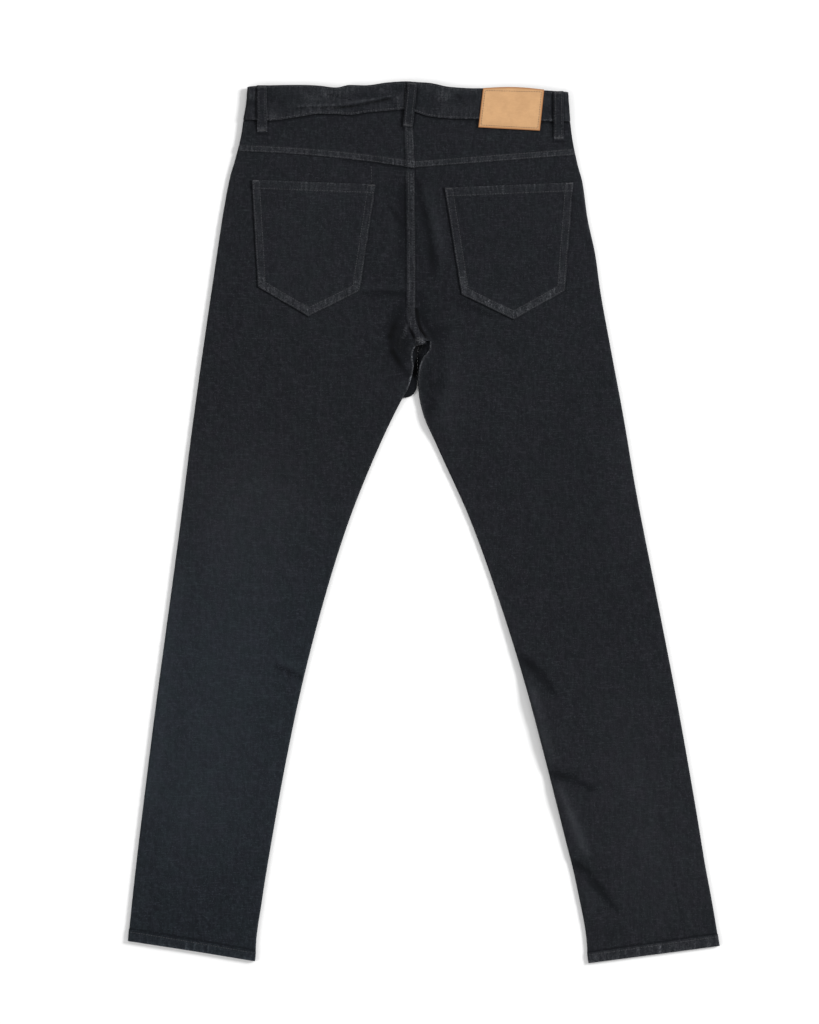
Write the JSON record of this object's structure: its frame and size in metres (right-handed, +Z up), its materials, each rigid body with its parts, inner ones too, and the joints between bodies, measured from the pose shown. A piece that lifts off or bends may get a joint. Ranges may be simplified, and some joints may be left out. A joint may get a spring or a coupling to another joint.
{
  "type": "slim tapered jeans",
  "caption": "Slim tapered jeans in charcoal denim with a bare tan leather patch, laid flat face down with the legs spread.",
  "frame": {"origin": "bottom centre of the jeans' box, on the surface they lie on", "axes": "+X towards the wearer's right leg, +Y from the leg ends towards the waistband, +Z up from the surface, which is the side with the back pockets"},
  "size_m": [0.7391, 1.1002, 0.013],
  "materials": {
    "back_leg_left": "matte",
    "back_leg_right": "matte",
    "front_leg_left": "matte",
    "front_leg_right": "matte",
    "yoke_left": "matte",
    "yoke_right": "matte",
    "pocket_back_left": "matte",
    "pocket_back_right": "matte",
    "pocket_facing_left": "matte",
    "pocket_facing_right": "matte",
    "coin_pocket": "matte",
    "waistband": "matte",
    "belt_loop_back_centre": "matte",
    "belt_loop_side_left": "matte",
    "belt_loop_side_right": "matte",
    "belt_loop_front_left": "matte",
    "belt_loop_front_right": "matte",
    "leather_patch": "matte",
    "fly_button": "satin"
  },
  "bodies": {
    "root": {"back_leg_left": "back_leg_left", "back_leg_right": "back_leg_right", "front_leg_left": "front_leg_left", "front_leg_right": "front_leg_right", "yoke_left": "yoke_left", "yoke_right": "yoke_right", "pocket_back_left": "pocket_back_left", "pocket_back_right": "pocket_back_right", "pocket_facing_left": "pocket_facing_left", "pocket_facing_right": "pocket_facing_right", "coin_pocket": "coin_pocket", "waistband": "waistband", "belt_loop_back_centre": "belt_loop_back_centre", "belt_loop_side_left": "belt_loop_side_left", "belt_loop_side_right": "belt_loop_side_right", "belt_loop_front_left": "belt_loop_front_left", "belt_loop_front_right": "belt_loop_front_right", "leather_patch": "leather_patch", "fly_button": "fly_button"}
  },
  "joints": []
}
